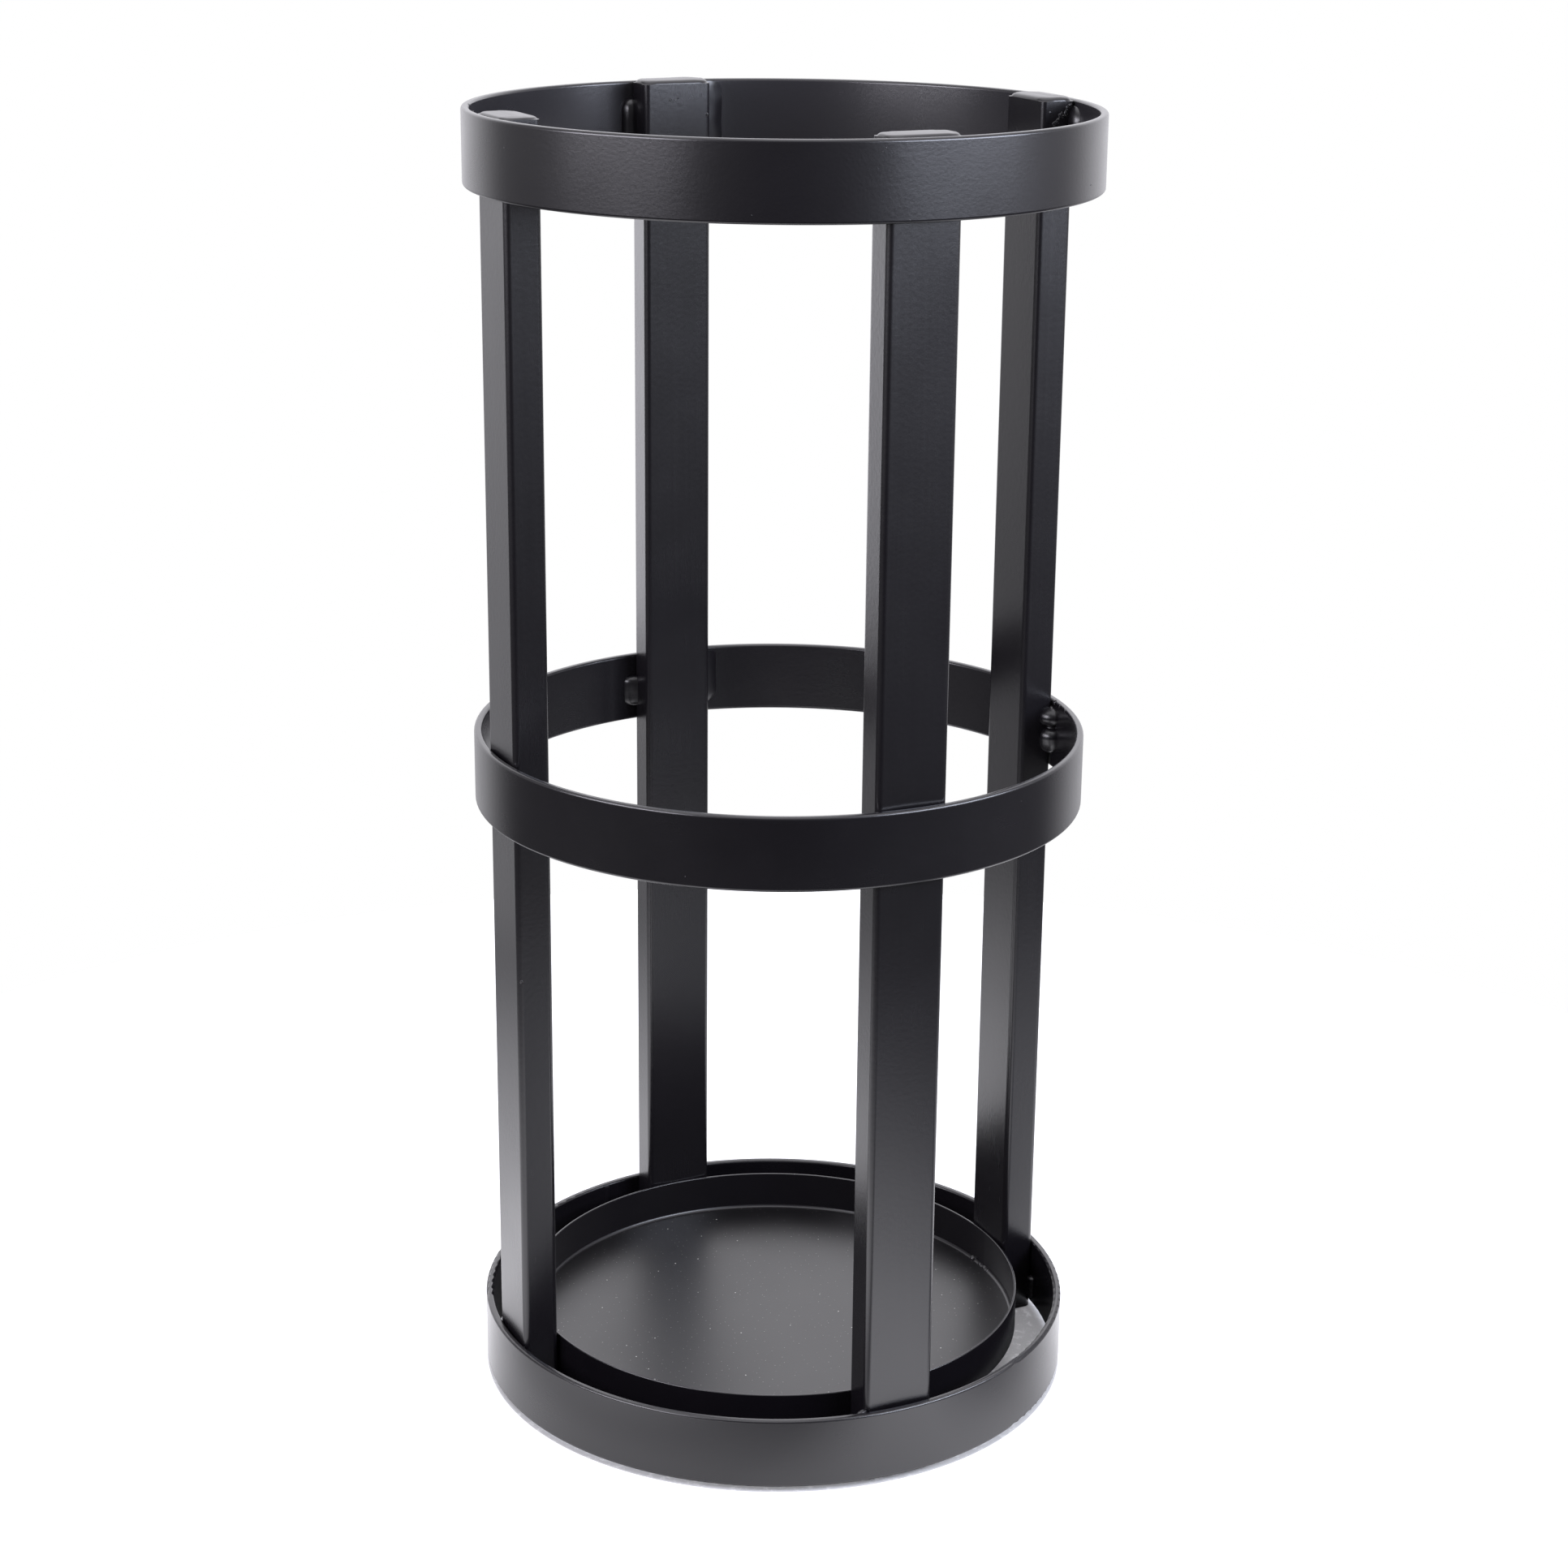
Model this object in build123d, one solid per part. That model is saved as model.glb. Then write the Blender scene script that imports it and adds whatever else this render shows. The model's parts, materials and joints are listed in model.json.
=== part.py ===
from build123d import *
from math import sqrt
import os

# Umbrella stand: three hoops of rolled flat bar welded round four rectangular tubes, with a loose
# round drip tray that stands on four lugs inside the base hoop. All sizes are in millimetres.
# The origin lies on the floor at the middle of the stand, +Z is up, and the uprights stand on the
# X and Y axes, so that +X is the right upright and -Y the front one.

# Whole stand
stand_height = 540.0            # floor to the top of the end caps
hoop_outer_diameter = 252.0     # the same for all three hoops

# Flat bar of the hoops
bar_height = 30.0
bar_thickness = 3.2
bar_edge_round = 1.2
base_hoop_floor_gap = 2.0       # floor to the underside of the base hoop
middle_hoop_height = 272.5      # floor to the middle of the middle hoop's bar
cap_stands_proud = 1.5          # end caps above the top hoop

# Rectangular tube of the uprights, its wide face along the hoops
tube_width = 30.0
tube_depth = 15.0
tube_wall = 1.5
tube_corner_radius = 2.3
weld_gap = 0.3                  # between the hoops and what is welded into them
hairline = 0.05                 # between curved pieces that are welded or fitted together

# Plates that close the tubes
cap_thickness = 2.0
cap_edge_round = 1.3
foot_thickness = 2.0
foot_edge_bevel = 0.5

# Weld beads between tube and hoop, each a short row of puddles
bead_length = 22.0
bead_leg = 5.0                  # along the hoop and along the tube's side
bead_root_depth = 2.0           # how far the middle of the bead's curve lies behind the corner
puddle_pitch = 5.5
ripple_depth = 0.35

# Butt weld that closes the base hoop
seam_angle = 105.0              # from +X, just left of the rear upright
seam_width = 3.0
seam_proud = 0.5                # on the hoop's inner wall

# Lugs that carry the tray
lug_width = 20.0
lug_depth = 12.0
lug_thickness = 3.0
lug_corner_radius = 3.0
lug_weld_leg = 2.5
lug_weld_inset = 1.0            # weld ends short of the lug's sides

# Drip tray
tray_underside_height = 15.0
tray_depth = 18.0               # underside to rim
tray_sheet = 1.0
tray_rim_round = 0.4
tray_side_clearance = 0.3       # to each upright's inner face
tray_seat_gap = 0.3             # to the lugs
tray_weld_leg = 1.2
tray_lump_angle = 5.0           # where the sealing weld starts and stops
tray_lump_radius = 1.8

# Worked out from the sizes above
hoop_outer_radius = hoop_outer_diameter / 2
hoop_inner_radius = hoop_outer_radius - bar_thickness
base_hoop_middle = base_hoop_floor_gap + bar_height / 2
top_hoop_middle = stand_height - cap_stands_proud - bar_height / 2
hoop_middles = {"top": top_hoop_middle, "middle": middle_hoop_height, "base": base_hoop_middle}

# The tube sits as far out as its rounded outer corners allow inside the hoops.
corner_offset = tube_width / 2 - tube_corner_radius
corner_reach = hoop_inner_radius - weld_gap - tube_corner_radius
tube_outer_face = sqrt(corner_reach**2 - corner_offset**2) + tube_corner_radius
tube_inner_face = tube_outer_face - tube_depth
tube_middle = tube_outer_face - tube_depth / 2
tube_length = stand_height - cap_thickness - foot_thickness

tray_radius = tube_inner_face - tray_side_clearance
tray_floor_radius = tray_radius - tray_sheet - hairline
tray_floor_top = tray_underside_height + tray_sheet
lug_top = tray_underside_height - tray_seat_gap

sides = {"right": 0, "rear": 90, "left": 180, "front": -90}


def hoop(middle_height):
    # Flat bar on edge with softened corners, rolled into a ring
    edge = min(bar_edge_round, 0.4 * bar_thickness)
    bar = Pos(hoop_outer_radius - bar_thickness / 2, middle_height) * RectangleRounded(
        bar_thickness, bar_height, edge
    )
    return revolve(Plane.XZ * bar, Axis.Z)


def tube_outline(margin=0.0):
    return RectangleRounded(
        tube_depth + 2 * margin, tube_width + 2 * margin, tube_corner_radius + margin
    )


def upright():
    # Hollow tube on the +X side, between its foot plate and its cap
    bore_corner = max(tube_corner_radius - tube_wall, 0.3 * tube_wall)
    bore = RectangleRounded(tube_depth - 2 * tube_wall, tube_width - 2 * tube_wall, bore_corner)
    return Pos(tube_middle, 0, foot_thickness) * extrude(tube_outline() - bore, tube_length)


def end_cap():
    # Plate welded over the tube's upper end and ground round at its top edge
    edge = min(cap_edge_round, 0.8 * cap_thickness)
    plate = extrude(tube_outline(), cap_thickness)
    plate = fillet(plate.edges().group_by(Axis.Z)[-1], edge)
    return Pos(tube_middle, 0, stand_height - cap_thickness) * plate


def foot_plate():
    # Plate over the tube's lower end, which stands on the floor
    edge = min(foot_edge_bevel, 0.4 * foot_thickness)
    plate = extrude(tube_outline(), foot_thickness)
    plate = chamfer(plate.edges().group_by(Axis.Z)[0], edge)
    return Pos(tube_middle, 0, 0) * plate


def puddle_row():
    # Upright spindle with a scalloped outline: each scallop is one puddle of weld metal
    bead_radius = sqrt((bead_leg + bead_root_depth) ** 2 + bead_root_depth**2)
    count = max(3, round(bead_length / puddle_pitch))

    def swell(height):
        return bead_radius * (1 - abs(2 * height / bead_length) ** 4) ** 0.5

    heights = [bead_length * (i / count - 0.5) for i in range(count + 1)]
    valleys = [(max(swell(z) - ripple_depth, 0), z) for z in heights]
    scallops = []
    for low, high in zip(valleys, valleys[1:]):
        crest = (low[1] + high[1]) / 2
        scallops.append(ThreePointArc(low, (swell(crest), crest), high))
    outline = make_face(Curve() + scallops + Line(valleys[-1], valleys[0]))
    return revolve(Plane.XZ * outline, Axis.Z)


def bead_pair(middle_height):
    # Fillet welds on both narrow sides of the +X upright, cut to the hoop and tube that they join
    root_x = sqrt(hoop_inner_radius**2 - (tube_width / 2) ** 2)
    root_y = tube_width / 2
    row = Pos(root_x + bead_root_depth, root_y - bead_root_depth) * puddle_row()
    inside_hoop = Cylinder(hoop_inner_radius - weld_gap, bead_length)
    tube = Pos(tube_middle, 0, -bead_length / 2) * extrude(tube_outline(hairline), bead_length)
    behind_tube = Pos(tube_outer_face, 0) * Box(
        2 * tube_depth, tube_width - tube_corner_radius, bead_length
    )
    bead = (row & inside_hoop) - tube - behind_tube
    pair = [bead, bead.mirror(Plane.XZ)]
    return [Pos(0, 0, middle_height) * one for one in pair]


def seam_slot():
    # Where the base hoop's two ends stop short of each other
    slot = Pos(hoop_outer_radius, 0, base_hoop_middle) * Box(
        4 * bar_thickness, seam_width, 2 * bar_height
    )
    return Rot(0, 0, seam_angle) * slot


def seam_weld():
    # Weld metal that fills the slot, ground flush outside and left a little proud inside
    filling = hoop(base_hoop_middle) & seam_slot()
    round_radius = (seam_width**2 / 4 + seam_proud**2) / (2 * seam_proud)
    length = bar_height - 2 * bar_edge_round
    crown = Pos(hoop_inner_radius - seam_proud + round_radius) * Cylinder(round_radius, length)
    crown &= Cylinder(hoop_inner_radius + bar_thickness / 2, length)
    crown = Rot(0, 0, seam_angle) * Pos(0, 0, base_hoop_middle) * crown
    return filling + (crown & seam_slot())


def tray_lug():
    # Small shelf on the inner face of the +X upright, its free corners rounded
    shelf = Rectangle(lug_depth, lug_width)
    corner = min(lug_corner_radius, 0.4 * lug_width, 0.8 * lug_depth)
    shelf = fillet(shelf.vertices().group_by(Axis.X)[0], corner)
    place = Pos(tube_inner_face - lug_depth / 2, 0, lug_top - lug_thickness)
    return place * extrude(shelf, lug_thickness)


def lug_weld():
    # Fillet weld under the lug, against the upright
    underside = lug_top - lug_thickness
    corner = (tube_inner_face, underside)
    on_lug = (tube_inner_face - lug_weld_leg, underside)
    on_tube = (tube_inner_face, underside - lug_weld_leg)
    bulge = 0.6 * lug_weld_leg
    crown = (tube_inner_face - bulge, underside - bulge)
    section = Line(corner, on_lug) + ThreePointArc(on_lug, crown, on_tube) + Line(on_tube, corner)
    length = lug_width - 2 * lug_weld_inset
    return extrude(Plane.XZ * make_face(section), length / 2, both=True)


def tray_floor():
    return Pos(0, 0, tray_underside_height) * extrude(Circle(tray_floor_radius), tray_sheet)


def tray_wall():
    # Rolled strip round the floor's edge, its rim rounded over
    strip = Pos(tray_radius - tray_sheet, tray_underside_height) * Rectangle(
        tray_sheet, tray_depth, align=(Align.MIN, Align.MIN)
    )
    rim = min(tray_rim_round, 0.45 * tray_sheet)
    strip = fillet(strip.vertices().group_by(Axis.Y)[-1], rim)
    return revolve(Plane.XZ * strip, Axis.Z)


def tray_seam_weld():
    # Thin weld all round the corner of the tray, with a lump where it starts and stops
    corner = (tray_floor_radius, tray_floor_top)
    on_floor = (tray_floor_radius - tray_weld_leg, tray_floor_top)
    on_wall = (tray_floor_radius, tray_floor_top + tray_weld_leg)
    hollow = 0.35 * tray_weld_leg
    throat = (tray_floor_radius - hollow, tray_floor_top + hollow)
    section = Line(corner, on_floor) + ThreePointArc(on_floor, throat, on_wall) + Line(on_wall, corner)
    weld = revolve(Plane.XZ * make_face(section), Axis.Z)
    lump = Pos(tray_floor_radius, 0, tray_floor_top) * Sphere(tray_lump_radius)
    tray_inside = Pos(0, 0, tray_floor_top) * Cylinder(
        tray_floor_radius, tray_depth, align=(Align.CENTER, Align.CENTER, Align.MIN)
    )
    return weld + Rot(0, 0, tray_lump_angle) * (lump & tray_inside)


def save(name, solids):
    if not isinstance(solids, list):
        solids = [solids]
    whole = Compound(children=solids) if len(solids) > 1 else solids[0]
    whole.label = name
    export_step(whole, f"parts/{name}.step")


def build():
    os.makedirs("parts", exist_ok=True)
    save("top_hoop", hoop(top_hoop_middle))
    save("middle_hoop", hoop(middle_hoop_height))
    save("base_hoop", hoop(base_hoop_middle) - seam_slot())
    save("base_hoop_seam_weld", seam_weld())

    for side, angle in sides.items():
        turn = Rot(0, 0, angle)
        save(f"upright_{side}", turn * upright())
        save(f"end_cap_{side}", turn * end_cap())
        save(f"foot_plate_{side}", turn * foot_plate())
        save(f"tray_lug_{side}", turn * tray_lug())
        for level, middle_height in hoop_middles.items():
            save(f"weld_{level}_{side}", [turn * bead for bead in bead_pair(middle_height)])
    save("tray_lug_welds", [Rot(0, 0, angle) * lug_weld() for angle in sides.values()])

    save("tray_floor", tray_floor())
    save("tray_wall", tray_wall())
    save("tray_seam_weld", tray_seam_weld())


build()
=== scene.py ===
import json
import math
import random

import bmesh
import bpy
from mathutils import Matrix, Vector, noise


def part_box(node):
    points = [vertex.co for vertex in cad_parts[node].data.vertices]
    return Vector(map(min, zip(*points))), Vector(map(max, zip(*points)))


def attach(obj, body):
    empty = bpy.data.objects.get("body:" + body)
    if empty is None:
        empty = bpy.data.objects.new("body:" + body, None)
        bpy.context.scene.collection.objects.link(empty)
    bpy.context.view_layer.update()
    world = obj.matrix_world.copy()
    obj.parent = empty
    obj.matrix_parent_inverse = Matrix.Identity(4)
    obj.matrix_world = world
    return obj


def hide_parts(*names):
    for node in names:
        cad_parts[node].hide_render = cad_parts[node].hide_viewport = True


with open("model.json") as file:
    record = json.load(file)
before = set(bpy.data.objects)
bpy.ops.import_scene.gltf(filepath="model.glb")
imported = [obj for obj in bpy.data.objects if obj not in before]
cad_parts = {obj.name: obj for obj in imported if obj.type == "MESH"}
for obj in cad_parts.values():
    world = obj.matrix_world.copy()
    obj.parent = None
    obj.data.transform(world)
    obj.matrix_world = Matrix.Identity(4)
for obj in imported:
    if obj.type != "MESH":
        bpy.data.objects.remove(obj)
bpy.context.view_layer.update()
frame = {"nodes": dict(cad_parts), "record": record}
parts = frame["nodes"]
print("stand loaded:", len(parts), "parts")


def radiusSpan(name):
    # Least and greatest distance of a part from the middle line of the stand
    spread = [math.hypot(v.co.x, v.co.y) for v in parts[name].data.vertices]
    return min(spread), max(spread)


# Measures taken off the parts themselves, in metres
levels = ("top", "middle", "base")
sides = {"right": 0, "rear": 90, "left": 180, "front": -90}  # the uprights, in degrees from +X
hoopInner, hoopOuter = radiusSpan("middle_hoop")
hoopBoxes = {level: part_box(level + "_hoop") for level in levels}
tubeLow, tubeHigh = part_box("upright_right")
tubeHalfWidth = tubeHigh.y


def turned(point, degrees):
    return Matrix.Rotation(math.radians(degrees), 3, "Z") @ Vector(point)


def joined(shapes):
    vertices, faces = [], []
    for points, loops in shapes:
        start = len(vertices)
        vertices += points
        faces += [tuple(start + k for k in loop) for loop in loops]
    return vertices, faces


def skin(rings, around):
    # Faces between rings of points that follow one another, with a lid on the first and the last
    faces = []
    for ring in range(rings - 1):
        for k in range(around):
            a = ring * around + k
            b = ring * around + (k + 1) % around
            faces.append((a, b, b + around, a + around))
    faces.append(tuple(range(around)))
    faces.append(tuple(range((rings - 1) * around, rings * around)))
    return faces


def meshPiece(name, vertices, faces, body="stand_frame"):
    mesh = bpy.data.meshes.new(name)
    mesh.from_pydata([tuple(v) for v in vertices], [], faces)
    mesh.update()
    work = bmesh.new()
    work.from_mesh(mesh)
    bmesh.ops.recalc_face_normals(work, faces=work.faces)
    work.to_mesh(mesh)
    work.free()
    mesh.shade_smooth()
    piece = bpy.data.objects.new(name, mesh)
    bpy.context.scene.collection.objects.link(piece)
    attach(piece, body)
    return piece


viewpoint = {
    "lens": 70.31,
    "sensor": 36.0,
    "sees": (0.01, 100),    # nearest and furthest
    "distance": 1.2187,     # level, from the stand's middle line
    "height": 0.6510,
    "around": -114.84,      # degrees from +X
    "heading": -24.951,
    "tilt": 72.236,         # 90 looks level
    "roll": 0.577,
}


def heading(degrees):
    # Level direction from the stand: 0 is toward the camera, 90 toward the right of its view
    a = math.radians(viewpoint["around"] + degrees)
    return Vector((math.cos(a), math.sin(a), 0))


def placeCamera():
    data = bpy.data.cameras.new("camera")
    data.lens = viewpoint["lens"]
    data.sensor_width = viewpoint["sensor"]
    data.clip_start, data.clip_end = viewpoint["sees"]
    camera = bpy.data.objects.new("camera", data)
    bpy.context.scene.collection.objects.link(camera)
    place = heading(0) * viewpoint["distance"]
    place.z = viewpoint["height"]
    turn = (
        Matrix.Rotation(math.radians(viewpoint["heading"]), 4, "Z")
        @ Matrix.Rotation(math.radians(viewpoint["tilt"]), 4, "X")
        @ Matrix.Rotation(math.radians(viewpoint["roll"]), 4, "Z")
    )
    camera.matrix_world = Matrix.Translation(place) @ turn
    bpy.context.scene.camera = camera


placeCamera()
print("camera placed")


class Wiring:
    # Adds and joins the shader nodes of one material or world
    def __init__(self, owner):
        owner.use_nodes = True
        self.tree = owner.node_tree
        self.tree.nodes.clear()

    def add(self, kind, **settings):
        node = self.tree.nodes.new(kind)
        for name, value in settings.items():
            setattr(node, name, value)
        return node

    def join(self, source, target):
        self.tree.links.new(source, target)

    def fill(self, sockets, values):
        for socket, value in zip(sockets, values):
            if isinstance(value, bpy.types.NodeSocket):
                self.join(value, socket)
            else:
                socket.default_value = value

    def math(self, operation, *values):
        node = self.add("ShaderNodeMath", operation=operation)
        self.fill(node.inputs, values)
        return node.outputs[0]

    def product(self, first, *others):
        for other in others:
            first = self.math("MULTIPLY", first, other)
        return first

    def total(self, first, *others):
        for other in others:
            first = self.math("ADD", first, other)
        return first

    def rest(self, share):
        return self.math("SUBTRACT", 1.0, share)

    def mix(self, share, without, full):
        return self.total(self.product(without, self.rest(share)), self.product(full, share))

    def spread(self, value, low, high, toLow, toHigh):
        node = self.add("ShaderNodeMapRange")
        self.fill(node.inputs, (value, low, high, toLow, toHigh))
        return node.outputs["Result"]

    def noise(self, where, size, detail=2.0, roughness=0.5):
        node = self.add("ShaderNodeTexNoise")
        node.inputs["Scale"].default_value = 1 / size
        node.inputs["Detail"].default_value = detail
        node.inputs["Roughness"].default_value = roughness
        self.join(where, node.inputs["Vector"])
        return node.outputs["Fac"]

    def blend(self, amount, first, second):
        node = self.add("ShaderNodeMix", data_type="RGBA")
        self.fill((node.inputs[0], node.inputs[6], node.inputs[7]), (amount, first, second))
        return node.outputs[2]

    def vector(self, operation, *values):
        node = self.add("ShaderNodeVectorMath", operation=operation)
        self.fill(node.inputs, values)
        return node.outputs["Value" if operation in ("DOT_PRODUCT", "LENGTH") else "Vector"]

    def apart(self, vector):
        node = self.add("ShaderNodeSeparateXYZ")
        self.join(vector, node.inputs[0])
        return node.outputs

    def together(self, *lengths):
        node = self.add("ShaderNodeCombineXYZ")
        self.fill(node.inputs, lengths)
        return node.outputs[0]

    def bump(self, height, depth, below=None):
        node = self.add("ShaderNodeBump")
        node.inputs["Distance"].default_value = depth
        self.join(height, node.inputs["Height"])
        if below is not None:
            self.join(below, node.inputs["Normal"])
        return node.outputs["Normal"]

    def finish(self, shader, kind="Material"):
        out = self.add("ShaderNodeOutput" + kind)
        self.join(shader.outputs[0], out.inputs["Surface"])


# Powder coat: one recipe, tuned for bar, tube, plate, weld, rim and sheet
barCoat = {
    "colour": (0.0050, 0.0043, 0.0058),
    "roughness": 0.26,
    "mottle": 0.16,         # share by which colour wanders over the piece
    "peelSize": 0.0013,     # metres from crest to crest
    "peelDepth": 0.000024,
    "grainDepth": 0.000013,
    "overEdges": 0.3,       # share of the peel left where the steel turns level
    "streaks": "round",     # rolling lines run round the hoops and down the tubes
    "streakDepth": 0.005,
    "dust": 0.02,
    "dustLies": "3D",       # 2D for a level sheet
    # painted light: a paler colour on the inner walls of the upper hoops, in place of the light from
    # above that falls there
    "paintedLightInside": (0.0190, 0.0180, 0.0205),
}
tubeCoat = dict(barCoat, paintedLightInside=None, peelSize=0.0019, streaks="down", streakDepth=0.008)
smoothCoat = dict(barCoat, paintedLightInside=None, streaks=None)
plateCoat = dict(smoothCoat, roughness=0.30, peelDepth=0.00002, overEdges=0.8)
weldCoat = dict(smoothCoat, roughness=0.29, peelSize=0.0024, peelDepth=0.00002, overEdges=1.0)
rimCoat = dict(smoothCoat, roughness=0.24, peelDepth=0.000008, dust=0.2)
sheetCoat = dict(smoothCoat, roughness=0.36, peelDepth=0.00001, overEdges=1.0, dust=0.5, dustLies="2D")

# What all the coats share
powder = {
    "shine": 1.6,                   # index of refraction
    # Patterns, each with its size in metres, its detail and its roughness, and the span of it used
    "patches": (0.045, 4.0, 0.6),
    "patchSpan": (0.3, 0.7),
    "sheen": (0.03, 2.0, 0.5),
    "sheenSpan": (0.25, 0.75),
    "sheenAdds": (-0.012, 0.018),   # to the roughness
    "streaks": (0.0016, 3.0, 0.7),
    "streakSpan": (0.3, 0.7),
    "streakRound": 0.016,           # the lines are drawn out this much round the hoops
    "streakDown": 0.02,             # and down the tubes
    "peel": (1.0, 0.4),             # detail and roughness alone
    "grain": (2.0, 0.5),
    "grainShare": 0.3,              # of the peel's size
    "edge": (0.1, 0.6),             # how level the steel has to lie to count as an edge
    "paintedLightFacing": (-0.8, -0.95),  # painted light: paler on what faces the stand's middle line
    "paintedLightHeight": (0.25, 0.5),    # and stronger toward the top, where more light from above reaches in
}
dust = {
    "colour": (0.75, 0.75, 0.72, 1.0),
    "coarse": {"spacing": 0.012, "reach": 0.030, "share": 0.7},
    "fine": {"spacing": 0.0040, "reach": 0.050, "share": 1.2},
    "fineStrength": 0.6,
    "level": (0.6, 0.9),            # how level the steel has to lie to hold it
    "onWalls": 0.1,
    "roughens": 0.3,
}


def drawnOut(w, where, way):
    x, y, z = w.apart(where)
    if way == "round":
        return w.together(w.product(w.math("ARCTAN2", y, x), powder["streakRound"]), 0.0, z)
    return w.together(x, y, w.product(z, powder["streakDown"]))


def dustSpecks(w, where, look, amount, dimensions):
    # One speck in some of the cells, its radius given as a share of the cell
    cells = w.add("ShaderNodeTexVoronoi", feature="F1", voronoi_dimensions=dimensions)
    cells.inputs["Scale"].default_value = 1 / look["spacing"]
    w.join(where, cells.inputs["Vector"])
    near = w.spread(cells.outputs["Distance"], look["reach"] * 0.5, look["reach"], 1, 0)
    chosen = w.add("ShaderNodeSeparateColor")
    w.join(cells.outputs["Color"], chosen.inputs[0])
    picked = w.math("LESS_THAN", chosen.outputs[0], amount * look["share"])
    return w.product(near, chosen.outputs[1], picked)


def layDust(w, coat, where, up):
    coarse, fine = [
        dustSpecks(w, where, dust[kind], coat["dust"], coat["dustLies"]) for kind in ("coarse", "fine")
    ]
    specks = w.math("MAXIMUM", coarse, w.product(fine, dust["fineStrength"]))
    return w.product(specks, w.spread(up, *dust["level"], dust["onWalls"], 1))


def paintedLightInsideHoop(w, where, normal):
    # Painted light: 1 on what faces the middle of the stand near its top, where light from above falls on
    # the inner walls of the hoops; the paler colour there stands in for that light
    outward = w.vector("NORMALIZE", w.vector("MULTIPLY", where, (1, 1, 0)))
    facing = w.spread(w.vector("DOT_PRODUCT", outward, normal), *powder["paintedLightFacing"], 0, 1)
    return w.product(facing, w.spread(w.apart(where)[2], *powder["paintedLightHeight"], 0, 1))


def powderCoat(name, coat):
    material = bpy.data.materials.new(name)
    w = Wiring(material)
    shader = w.add("ShaderNodeBsdfPrincipled")
    shader.inputs["IOR"].default_value = powder["shine"]
    where = w.add("ShaderNodeTexCoord").outputs["Object"]
    normal = w.add("ShaderNodeNewGeometry").outputs["Normal"]
    up = w.apart(normal)[2]

    # Colour wanders a little from patch to patch, and dust lies on it as fine pale specks
    deep = tuple(c * (1 - coat["mottle"]) for c in coat["colour"]) + (1.0,)
    light = tuple(c * (1 + coat["mottle"]) for c in coat["colour"]) + (1.0,)
    patches = w.noise(where, *powder["patches"])
    colour = w.blend(w.spread(patches, *powder["patchSpan"], 0, 1), deep, light)
    specks = layDust(w, coat, where, up)
    colour = w.blend(specks, colour, dust["colour"])
    # Painted light: the inner walls of the upper hoops are made paler where light from above falls on
    # them
    if coat["paintedLightInside"]:
        colour = w.blend(paintedLightInsideHoop(w, where, normal), colour, coat["paintedLightInside"] + (1.0,))
    w.join(colour, shader.inputs["Base Color"])

    # Gloss varies with the thickness of the coat, and along the rolling lines of the steel below
    glossiest, dullest = [coat["roughness"] + added for added in powder["sheenAdds"]]
    gloss = w.spread(w.noise(where, *powder["sheen"]), *powder["sheenSpan"], glossiest, dullest)
    if coat["streaks"]:
        lines = w.noise(drawnOut(w, where, coat["streaks"]), *powder["streaks"])
        depth = coat["streakDepth"]
        gloss = w.total(gloss, w.spread(lines, *powder["streakSpan"], -depth, depth))
    w.join(w.total(gloss, w.product(specks, dust["roughens"])), shader.inputs["Roughness"])

    # Orange peel and the finer grain of the powder, which flow smoother over the edges
    strength = w.spread(w.math("ABSOLUTE", up), *powder["edge"], 1, coat["overEdges"])
    peel = w.noise(where, coat["peelSize"], *powder["peel"])
    grain = w.noise(where, coat["peelSize"] * powder["grainShare"], *powder["grain"])
    rough = w.bump(w.product(peel, strength), coat["peelDepth"])
    rough = w.bump(w.product(grain, strength), coat["grainDepth"], rough)
    w.join(rough, shader.inputs["Normal"])
    w.finish(shader)
    return material


finishes = {
    "coated_bar": powderCoat("barPowderCoat", barCoat),
    "coated_tube": powderCoat("tubePowderCoat", tubeCoat),
    "coated_plate": powderCoat("platePowderCoat", plateCoat),
    "coated_weld": powderCoat("weldPowderCoat", weldCoat),
    "coated_sheet": powderCoat("sheetPowderCoat", sheetCoat),
}
ownFinish = {"tray_wall": powderCoat("rimPowderCoat", rimCoat)}


def coat(piece, slot):
    piece.data.materials.clear()
    piece.data.materials.append(finishes[slot])


def coatParts():
    slotOf = {row["node"]: row["material_slot"] for row in frame["record"]["subparts"]}
    for name, part in parts.items():
        for place in part.material_slots:
            place.material = ownFinish.get(name, finishes[slotOf[name]])


coatParts()
print("powder coat on")


# Weld beads between the uprights and the hoops, in metres
bead = {
    "length": 0.020,
    "lengthSpread": 0.004,
    "stray": 0.0015,        # how far its middle lies from the hoop's
    "alongHoop": 0.0052,    # how far the bead spreads on the hoop
    "alongTube": 0.0048,    # and on the side of the tube
    "crown": 0.6,           # 0 is a flat fillet, 1 a quarter round
    "puddles": 5,
    "overlap": 0.86,        # half height of a puddle, as a share of the step to the next one
    "merging": 5,           # the higher, the sharper the valleys between puddles
    "longRun": 0.0066,      # half height from which a puddle keeps its thickness to the ends
    "fullness": (2, 6),     # how bluntly a short and a long puddle end
    "thinnest": 0.02,       # share of its reach left at the very ends
    "uneven": 0.14,
    "lumps": 0.10,
    "lumpsAcross": 1.6,
    "lumpsUp": 140,         # to the metre
    "shortOfEdge": 0.0003,  # the longest ones are ground off just inside the hoop's edges
    "sunk": 0.0005,         # the edges run this far into the steel
    "lean": 0.0,            # how far the upper end falls toward the hoop
    "rows": 72,
    "columns": 18,
    "seed": 11,
}
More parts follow.
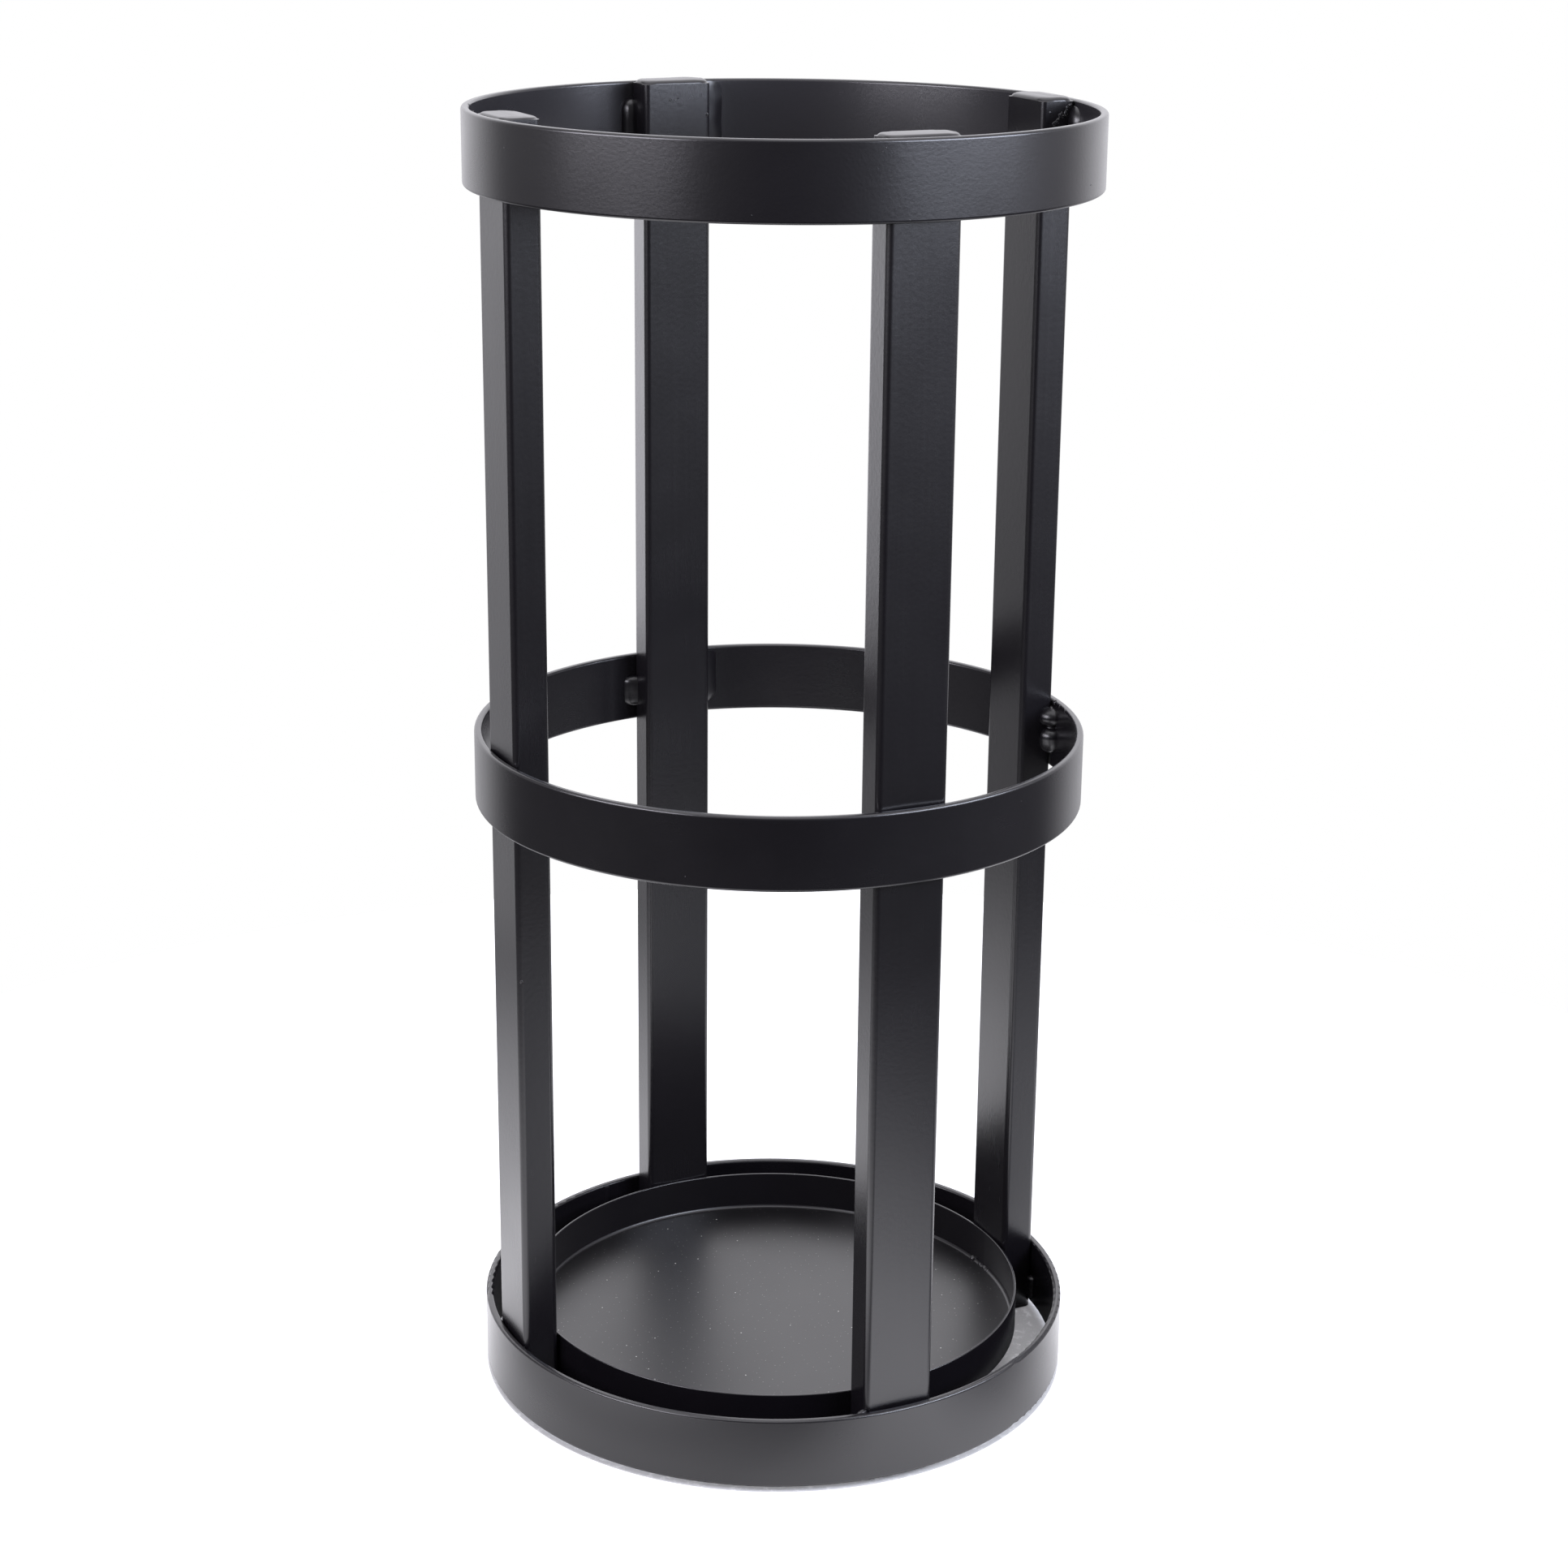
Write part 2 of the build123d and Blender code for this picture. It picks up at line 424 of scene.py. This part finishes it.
# Beads unlike the rest: (level, upright, +1 or -1 round it). A list of puddles gives, for each one,
# its height from the middle of the hoop and its half height, both in millimetres, and its size.
oddBeads = {
    ("top", "rear", 1): {
        "puddles": ((-4.5, 12.5, 1.0),),
        "alongHoop": 0.0048, "alongTube": 0.0044, "crown": 0.97, "lumps": 0.02,
    },
    ("top", "rear", -1): {
        "puddles": ((0, 24, 1.0),), "lean": 0.0016,
        "alongHoop": 0.0108, "alongTube": 0.0060, "crown": 0.45, "lumps": 0.03,
    },
    ("top", "right", -1): {
        "puddles": ((-8, 5, 0.8), (-1, 6, 0.9), (6, 6.5, 1.0)),
        "alongHoop": 0.0062, "alongTube": 0.0030, "lumps": 0.10,
    },
    ("middle", "rear", 1): {
        "puddles": ((-1.6, 7.0, 1.0),),
        "alongHoop": 0.0056, "alongTube": 0.0038, "crown": 0.5, "lumps": 0.04,
    },
    ("middle", "rear", -1): {
        "puddles": ((5, 17, 1.0),), "lean": 0.0034,
        "alongHoop": 0.0090, "alongTube": 0.0052, "crown": 0.45, "lumps": 0.03,
    },
    ("middle", "right", -1): {
        "puddles": ((7.6, 4.6, 1.0), (-1.2, 4.8, 0.95), (-5.0, 3.4, 0.8)),
        "alongHoop": 0.0060, "alongTube": 0.0062, "crown": 0.76, "lumps": 0.05,
    },
    ("base", "left", 1): {"length": 0.027, "alongHoop": 0.0044, "lumps": 0.08},
    ("base", "front", -1): {"length": 0.0285, "alongHoop": 0.0046, "lumps": 0.08},
}
smallBead = {"length": 0.012, "alongHoop": 0.0026, "alongTube": 0.0022, "lumps": 0.03, "shift": -0.007}
oddBeads["base", "right", -1] = smallBead
oddBeads["base", "rear", 1] = smallBead


def puddleReach(puddles, height):
    # Neighbouring puddles run softly into one another
    short, long = bead["fullness"]
    together = 0.0
    for middle, half, size in puddles:
        fullness = short if half < bead["longRun"] else long
        share = max(1 - abs((height - middle) / half) ** fullness, 0.0)
        together += (size * math.sqrt(share)) ** bead["merging"]
    return max(together ** (1 / bead["merging"]), bead["thinnest"])


def beadRing(look, side, height, reachHere, wander, fall):
    # One level slice: deep in the corner, out along the tube, over the crown, back along the hoop
    def wall(y):
        return math.sqrt(hoopInner**2 - y**2)

    sunk = look["sunk"]
    ring = [(wall(tubeHalfWidth) + sunk, tubeHalfWidth - sunk)]
    columns = look["columns"]
    for step in range(columns + 1):
        share = step / columns
        angle = share * math.pi / 2
        flat = 1 / (math.cos(angle) + math.sin(angle))
        reach = flat * (1 - look["crown"]) + look["crown"]
        spot = Vector((share * look["lumpsAcross"] + wander, height * look["lumpsUp"], wander * 3.7))
        reach *= reachHere * (1 + look["lumps"] * noise.noise(spot))
        away = max(reach * look["alongTube"] * math.cos(angle), 0)
        along = tubeHalfWidth + reach * look["alongHoop"] * math.sin(angle)
        if step == 0:
            ring.append((wall(along) - away, along - sunk))
        ring.append((wall(along) - away, along))
        if step == columns:
            ring.append((wall(along) + sunk, along))
    nearest = min(x for x, y in ring)
    depth = max(x for x, y in ring) - nearest
    return [(x, side * y, height - fall * (x - nearest) / depth) for x, y in ring]


def evenPuddles(look, length, draw):
    pitch = length / look["puddles"]
    row = []
    for index in range(look["puddles"]):
        size = 1 + draw.uniform(-1, 0.5) * look["uneven"]
        row.append(((index + 0.5) * pitch - length / 2, pitch * look["overlap"], size))
    return row


def weldBead(level, place, side, draw):
    look = dict(bead, **oddBeads.get((level, place, side), {}))
    length = look["length"] + draw.uniform(-1, 1) * look["lengthSpread"]
    shift = look.get("shift", draw.uniform(-look["stray"], look["stray"]))
    wander = draw.uniform(0, 50)    # where in the noise this bead's lumps start
    if isinstance(look["puddles"], tuple):
        row = [(middle / 1000, half / 1000, size) for middle, half, size in look["puddles"]]
        shift = 0
    else:
        row = evenPuddles(look, length, draw)
    low, high = hoopBoxes[level]
    limit = (high.z - low.z) / 2 - look["shortOfEdge"]
    bottom = max(min(middle - half for middle, half, size in row), -limit)
    top = min(max(middle + half for middle, half, size in row), limit)
    hoopMiddle = (low.z + high.z) / 2 + shift
    vertices = []
    for index in range(look["rows"] + 1):
        height = (bottom + top) / 2 - (top - bottom) / 2 * math.cos(math.pi * index / look["rows"])
        fall = look["lean"] * max(height / limit, 0) ** 3
        vertices += beadRing(look, side, hoopMiddle + height, puddleReach(row, height), wander, fall)
    rings = look["rows"] + 1
    return vertices, skin(rings, len(vertices) // rings)


def placeBeads():
    draw = random.Random(bead["seed"])
    for level in levels:
        for place, degrees in sides.items():
            vertices, faces = joined([weldBead(level, place, side, draw) for side in (1, -1)])
            name = "weld_%s_%s" % (level, place)
            vertices = [turned(v, degrees) for v in vertices]
            piece = meshPiece("beads_%s_%s" % (level, place), vertices, faces)
            coat(piece, "coated_weld")
            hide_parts(name)


placeBeads()
print("welds laid")


# Ends of the uprights, welded shut and ground by hand
groundEnd = {
    "edgeRound": 0.0018,
    "dome": 0.00025,
    "uneven": 0.00016,
    "hollow": 0.8,          # the higher, the more of the lid lies lower
    "hollowAtEdge": 0.15,
    "grinding": ((260, 1.0), (700, 0.5)),  # hollows to the metre, and how deep against each other
    "corner": 0.0023,
    "cornerGrows": 0.0030,  # the corners are ground rounder toward the top
    "cornerFollows": 0.5,   # and by this share of the way in from the side
    "groundLower": {"left": 0.0008, "front": 0.0004},
    "leastEdge": 0.0001,
    "lidInset": 0.0008,     # what is left for the flat lid in the middle
    "edgeRings": 6,
    "topRings": 10,
    "cornerSteps": 8,
    "sharpFrom": 50,        # degrees
}


def roundedOutline(halfX, halfY, corner, steps):
    points = []
    for quarter in range(4):
        signX = (1, -1, -1, 1)[quarter]
        signY = (1, 1, -1, -1)[quarter]
        for step in range(steps + 1):
            angle = math.pi / 2 * (quarter + step / steps)
            x = signX * (halfX - corner) + corner * math.cos(angle)
            y = signY * (halfY - corner) + corner * math.sin(angle)
            points.append((x, y))
    return points


def closedEnd(place, degrees):
    low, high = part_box("end_cap_right")
    middleX = (low.x + high.x) / 2
    halfX, halfY = (high.x - low.x) / 2, (high.y - low.y) / 2
    thick = high.z - low.z - groundEnd["groundLower"].get(place, 0)
    edge = min(groundEnd["edgeRound"], thick - groundEnd["leastEdge"])
    dome = groundEnd["dome"]
    seed = degrees * 0.37   # a different grinding on each end
    rings = []

    def addRing(inset, height):
        grown = groundEnd["cornerGrows"] * min(height / (thick - edge), 1)
        grown += groundEnd["cornerFollows"] * inset
        corner = min(groundEnd["corner"] + grown, halfX - inset - groundEnd["leastEdge"])
        ring = []
        for x, y in roundedOutline(halfX - inset, halfY - inset, corner, groundEnd["cornerSteps"]):
            rough = sum(
                depth * noise.noise(Vector((x * count, y * count, seed)))
                for count, depth in groundEnd["grinding"]
            )
            drop = groundEnd["uneven"] * (groundEnd["hollow"] + rough)
            drop *= min(1, inset / edge + groundEnd["hollowAtEdge"])
            ring.append(Vector((middleX + x, y, low.z + height - max(drop, 0))))
        rings.append(ring)

    addRing(0, 0)
    addRing(0, thick - edge)
    for step in range(1, groundEnd["edgeRings"] + 1):
        angle = math.pi / 2 * step / groundEnd["edgeRings"]
        addRing(edge * (1 - math.cos(angle)), thick - edge + edge * math.sin(angle) - dome)
    top = halfX - groundEnd["lidInset"] - edge
    for step in range(1, groundEnd["topRings"] + 1):
        share = step / groundEnd["topRings"]
        addRing(edge + top * share, thick - dome * (1 - share) ** 2)
    vertices = [turned(v, degrees) for ring in rings for v in ring]
    piece = meshPiece("closedEnd_" + place, vertices, skin(len(rings), len(rings[0])))
    piece.data.set_sharp_from_angle(angle=math.radians(groundEnd["sharpFrom"]))
    coat(piece, "coated_plate")
    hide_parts("end_cap_" + place)


for place, degrees in sides.items():
    closedEnd(place, degrees)
print("ends ground")


# Spatter, nibs and lumps that the coat has covered, all in millimetres. Each lump is a ball that
# lies sunk in the steel.
lumpShape = {
    "sunk": 0.35,
    "flat": 0.7,
    "long": (0.8, 1.2),
    "uneven": 0.28,
    "wave": 1.1,
    "rounds": 3,
    "seedStep": 5.3,
}
# On an upright: its inner face or flank, which upright, which side of it, across or out, height, size
tubeMarks = (
    ("face", "rear", 1, 3.6, 531.4, 0.62),
    ("face", "rear", 1, 0.2, 532.2, 0.50),
    ("face", "rear", 1, 1.3, 531.3, 0.36),
    ("face", "rear", 1, -13.2, 525.1, 0.70),
    ("flank", "right", -1, 110.3, 533.8, 0.50),
    ("flank", "left", 1, 120.4, 196.0, 0.75),
)
# On a hoop: which surface, degrees from +X, height, size
hoopMarks = (
    ("inside", 177.0, 537.6, 0.75),
    ("inside", 171.0, 537.9, 0.60),
    ("inside", 156.5, 537.7, 0.70),
    ("inside", 159.0, 537.2, 0.50),
    ("inside", -7.6, 286.6, 1.30),
    ("inside", -10.5, 286.8, 0.90),
    ("inside", -14.0, 286.9, 0.70),
    ("inside", 136.0, 279.0, 0.30),
    ("outside", -98.3, 535.4, 0.34),
    ("outside", -98.8, 534.0, 0.28),
    ("outside", -170.0, 528.9, 0.30),
    ("outside", -93.9, 509.8, 0.30),
    ("outside", -48.2, 514.9, 0.32),
    ("outside", -120.0, 512.0, 0.22),
    ("outside", -66.0, 281.0, 0.24),
    ("outside", -131.0, 262.0, 0.26),
    ("under", -96.2, 2.1, 0.80),
    ("rim", -96.2, 31.6, 0.90),
    ("rim", 187.0, 31.7, 0.70),
)
# Radius of each hoop surface in metres, and which way a lump on it sticks out
hoopSurfaces = {
    "inside": (hoopInner, (-1, 0, 0.3)),
    "outside": (hoopOuter, (1, 0, 0)),
    "under": (hoopOuter - 0.0009, (0.5, 0, -1)),
    "rim": (hoopInner + 0.0006, (-0.3, 0, 1)),
}
# A rough run of metal up the side of the right upright, out toward the hoop
weldRun = {
    "from": (112.2, 528.8),     # out from the middle of the stand, and height
    "to": (119.8, 536.4),
    "lumps": 22,
    "stray": 0.75,
    "size": (0.55, 1.15),
    "seed": 5,
}
# Where the tray's seam weld starts and stops
trayLumps = {
    "inset": 0.6,
    "raised": 0.4,
    "out": (-0.7, 0, 0.7),
    "places": ((-0.6, 1.6), (1.5, 1.1), (-2.4, 0.9)),   # degrees from +X, size
    "seedStep": 3.1,
}


def lump(point, out, size, seed):
    shape = bmesh.new()
    bmesh.ops.create_icosphere(shape, subdivisions=lumpShape["rounds"], radius=1.0)
    upright = Vector(out).to_track_quat("Z", "Y").to_matrix()
    size /= 1000
    middle = Vector(point) - Vector(out) * size * lumpShape["sunk"]
    short, long = lumpShape["long"]
    length = short + (long - short) * ((seed * 0.37) % 1)
    vertices = []
    for v in shape.verts:
        wave = noise.noise(v.co * lumpShape["wave"] + Vector((seed, 0, 0)))
        local = Vector((v.co.x, v.co.y * length, v.co.z * lumpShape["flat"]))
        vertices.append(middle + upright @ (local * (1 + lumpShape["uneven"] * wave) * size))
    faces = [tuple(v.index for v in face.verts) for face in shape.faces]
    shape.free()
    return vertices, faces


def onTube(where, upright, side, first, height):
    degrees = sides[upright]
    first, height = first / 1000, height / 1000
    if where == "face":
        return turned((tubeLow.x, first, height), degrees), turned((-1, 0, 0), degrees)
    return turned((first, side * tubeHalfWidth, height), degrees), turned((0, side, 0), degrees)


def onHoop(where, degrees, height):
    radius, out = hoopSurfaces[where]
    return turned((radius, 0, height / 1000), degrees), turned(Vector(out).normalized(), degrees)


def weldRidge():
    draw = random.Random(weldRun["seed"])
    low, high = Vector(weldRun["from"]), Vector(weldRun["to"])
    shapes = []
    for step in range(weldRun["lumps"]):
        stray = Vector((draw.uniform(-1, 1), draw.uniform(-1, 1))) * weldRun["stray"]
        spot = low.lerp(high, step / (weldRun["lumps"] - 1)) + stray
        point, out = onTube("flank", "right", -1, spot.x, spot.y)
        shapes.append(lump(point, out, draw.uniform(*weldRun["size"]), draw.uniform(0, 90)))
    return shapes


def placeSpatter():
    spots = [(onTube(*mark[:-1]), mark[-1]) for mark in tubeMarks]
    spots += [(onHoop(*mark[:-1]), mark[-1]) for mark in hoopMarks]
    shapes = weldRidge()
    for index, ((point, out), size) in enumerate(spots):
        shapes.append(lump(point, out, size, index * lumpShape["seedStep"]))
    piece = meshPiece("weldSpatter", *joined(shapes))
    coat(piece, "coated_weld")


def placeTrayLumps():
    low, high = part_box("tray_floor")
    corner = (high.x - trayLumps["inset"] / 1000, 0, high.z + trayLumps["raised"] / 1000)
    shapes = []
    for index, (degrees, size) in enumerate(trayLumps["places"]):
        point, out = turned(corner, degrees), turned(trayLumps["out"], degrees)
        shapes.append(lump(point, out, size, index * trayLumps["seedStep"]))
    piece = meshPiece("trayWeldLump", *joined(shapes), "drip_tray")
    coat(piece, "coated_weld")


placeSpatter()
placeTrayLumps()
print("spatter and nibs placed")


# What the coat mirrors around the stand: a bright sweep behind it, a dim room in front and at the
# sides, and a bright ceiling. Spans are measured on a direction of length 1, so 0 up is level.
surroundings = {
    "tint": (0.96, 0.95, 1.0, 1.0),
    "seen": (1.0, 1.0, 1.0, 1.0),   # what the camera sees of them
    "sweep": 1.5,
    "sweepHigh": 1.25,              # times as bright above the horizon
    "sweepLow": 0.9,                # below the level of the table's edge
    "sweepSpan": (-0.45, -0.75),    # along the way to the camera, so it lies behind the stand
    "sweepRise": (0.15, 0.4),
    "room": 0.17,
    "roomLow": 0.018,
    "roomLeft": 0.30,               # added toward the sides
    "roomRight": 0.55,
    "roomSideLow": 0.11,
    "roomSideFall": 1.6,
    "horizon": (-0.24, -0.08),
    "overhead": 1.75,
    "overheadSpan": (0.6, 0.9),
}


def lightWorld():
    look = surroundings
    world = bpy.data.worlds.new("studio")
    bpy.context.scene.world = world
    w = Wiring(world)
    where = w.add("ShaderNodeTexCoord").outputs["Generated"]
    front = w.vector("DOT_PRODUCT", where, heading(0))
    aside = w.vector("DOT_PRODUCT", where, heading(90))
    up = w.apart(where)[2]
    toRight, toLeft = [
        w.math("POWER", w.math("MAXIMUM", w.product(aside, way), 0.0), look["roomSideFall"])
        for way in (1.0, -1.0)
    ]
    room = w.total(w.product(toRight, look["roomRight"]), w.product(toLeft, look["roomLeft"]))
    room = w.total(room, look["room"])
    roomLow = w.total(w.product(w.total(toRight, toLeft), look["roomSideLow"]), look["roomLow"])
    behind = w.spread(front, *look["sweepSpan"], 0, 1)
    sweep = w.spread(up, *look["sweepRise"], look["sweep"], look["sweep"] * look["sweepHigh"])
    high = w.mix(behind, room, sweep)
    low = w.mix(behind, roomLow, look["sweepLow"])
    tone = w.mix(w.spread(up, *look["horizon"], 0, 1), low, high)
    tone = w.total(tone, w.spread(up, *look["overheadSpan"], 0, look["overhead"]))
    seen = w.add("ShaderNodeLightPath").outputs["Is Camera Ray"]
    background = w.add("ShaderNodeBackground")
    w.join(w.blend(seen, look["tint"], look["seen"]), background.inputs["Color"])
    w.join(w.mix(seen, tone, 1.0), background.inputs["Strength"])
    w.finish(background, "World")


# Soft boxes round the stand. "around" is in degrees as in heading(), lengths are in metres.
boxDistance = 1.15
softBoxes = (
    {
        "name": "leftBox", "around": -56.0, "bottom": 0.53, "width": 0.95, "height": 0.5,
        "tone": 9.6, "colour": (0.92, 0.90, 1.0), "flagged": ("EXCLUDE", "tray_floor"),
    },
    {
        "name": "edgeBox", "around": -137.6, "bottom": 0.02, "width": 0.5, "height": 0.7,
        "tone": 1.9, "colour": (0.94, 0.93, 1.0), "flagged": ("INCLUDE", "upright_front", "upright_rear"),
    },
    {
        "name": "rightBox", "around": 63.0, "bottom": 0.53, "width": 1.1, "height": 0.5,
        "tone": 13.0, "colour": (0.80, 0.85, 1.0), "flagged": ("EXCLUDE", "tray_floor"),
    },
)


def flag(box, state, *names):
    # Keeps a box's light off the named parts, or on them alone
    group = bpy.data.collections.new(box.name + "Flags")
    for name in names:
        group.objects.link(parts[name])
    for entry in group.collection_objects:
        entry.light_linking.link_state = state
    box.light_linking.receiver_collection = group


def placeBox(look):
    width, height = look["width"], look["height"]
    data = bpy.data.lights.new(look["name"], "AREA")
    data.shape = "RECTANGLE"
    data.size, data.size_y = width, height
    data.color = look["colour"]
    data.energy = look["tone"] * math.pi * width * height
    box = bpy.data.objects.new(look["name"], data)
    bpy.context.scene.collection.objects.link(box)
    place = heading(look["around"]) * boxDistance
    place.z = look["bottom"] + height / 2
    aim = Vector((0, 0, place.z)) - place
    box.matrix_world = Matrix.Translation(place) @ aim.to_track_quat("-Z", "Y").to_matrix().to_4x4()
    box.visible_camera = False
    flag(box, *look["flagged"])


# Small white table under the stand
table = {
    "radius": 0.60,
    "steps": 128,
    "roughness": 0.6,
    "seen": (0.60, 0.60, 0.60, 1.0),        # its colour, which carries the stand's shadow
    "mirrored": (0.11, 0.11, 0.11, 1.0),    # the same as the coat mirrors it
    "whiteness": 0.55,                      # added to what the camera sees of it
    "whitenessInside": 0.09,                # and inside the base hoop, where it lies in shade
    "grit": 0.30,
    "gritPattern": (0.004, 4.0, 0.8),       # size, detail and roughness
    "gritSpan": (0.52, 0.75),
}
# Light that the coat mirrors on the table, strongest near the stand
tableGlow = {
    "strength": 2.1,
    "atHoop": 0.79,             # of its full strength, which it has a little further out
    "rise": 0.08,
    "fall": (0.26, 0.60),
    "behind": 0.69,             # behind the stand
    "behindSpan": (-0.12, -0.02),
    "bandsRun": -68.8,          # darker bands run across it, so many degrees from +X
    # Metres from the stand's middle line, more toward +X, and half width and depth of each
    "bands": ((-0.135, 0.075, 0.87), (0.064, 0.080, 0.97), (0.160, 0.085, 0.38)),
    "bandCore": 0.3,            # share of the half width that is fully dark
    "bandsNear": 0.38,          # share of their depth close to the hoop
    "bandsOut": (0.14, 0.20),   # and from where to where it grows to the full
    "bandsFront": (-0.03, 0.05),    # they fade out behind the stand
}


def mirroredGlow(w, where, away):
    look = tableGlow
    rise = w.spread(away, hoopOuter, hoopOuter + look["rise"], look["atHoop"], 1)
    toFront = w.vector("DOT_PRODUCT", where, heading(0))
    glow = w.product(w.spread(away, *look["fall"], 1, 0), rise, look["strength"])
    glow = w.product(glow, w.spread(toFront, *look["behindSpan"], look["behind"], 1))
    across = w.vector("DOT_PRODUCT", where, turned((0, 1, 0), look["bandsRun"]))
    depthHere = w.product(
        w.spread(away, *look["bandsOut"], look["bandsNear"], 1),
        w.spread(toFront, *look["bandsFront"], 0, 1),
    )
    for middle, half, depth in look["bands"]:
        off = w.math("ABSOLUTE", w.math("SUBTRACT", across, middle))
        shade = w.spread(off, half * look["bandCore"], half, depth, 0)
        glow = w.product(glow, w.rest(w.product(shade, depthHere)))
    return glow


def tableWhite():
    material = bpy.data.materials.new("tableWhite")
    w = Wiring(material)
    shader = w.add("ShaderNodeBsdfPrincipled")
    shader.inputs["Roughness"].default_value = table["roughness"]
    shader.inputs["Emission Color"].default_value = surroundings["tint"]
    path = w.add("ShaderNodeLightPath")
    seen = path.outputs["Is Camera Ray"]
    w.join(w.blend(seen, table["mirrored"], table["seen"]), shader.inputs["Base Color"])
    where = w.add("ShaderNodeTexCoord").outputs["Object"]
    away = w.vector("LENGTH", where)
    outside = w.math("GREATER_THAN", away, hoopOuter)
    mirrored = w.product(path.outputs["Is Glossy Ray"], mirroredGlow(w, where, away), outside)
    grit = w.spread(w.noise(where, *table["gritPattern"]), *table["gritSpan"], 0, table["grit"])
    inside = w.total(grit, table["whitenessInside"])
    white = w.math("MAXIMUM", w.product(outside, table["whiteness"]), inside)
    w.join(w.total(w.product(seen, white), mirrored), shader.inputs["Emission Strength"])
    w.finish(shader)
    return material


def placeTable():
    corners = [turned((table["radius"], 0, 0), 360 * k / table["steps"]) for k in range(table["steps"])]
    mesh = bpy.data.meshes.new("table")
    mesh.from_pydata([tuple(c) for c in corners], [], [tuple(range(table["steps"]))])
    mesh.materials.append(tableWhite())
    top = bpy.data.objects.new("table", mesh)
    bpy.context.scene.collection.objects.link(top)


lightWorld()
for look in softBoxes:
    placeBox(look)
placeTable()
bpy.context.scene.view_settings.view_transform = "Standard"
print("studio lit")
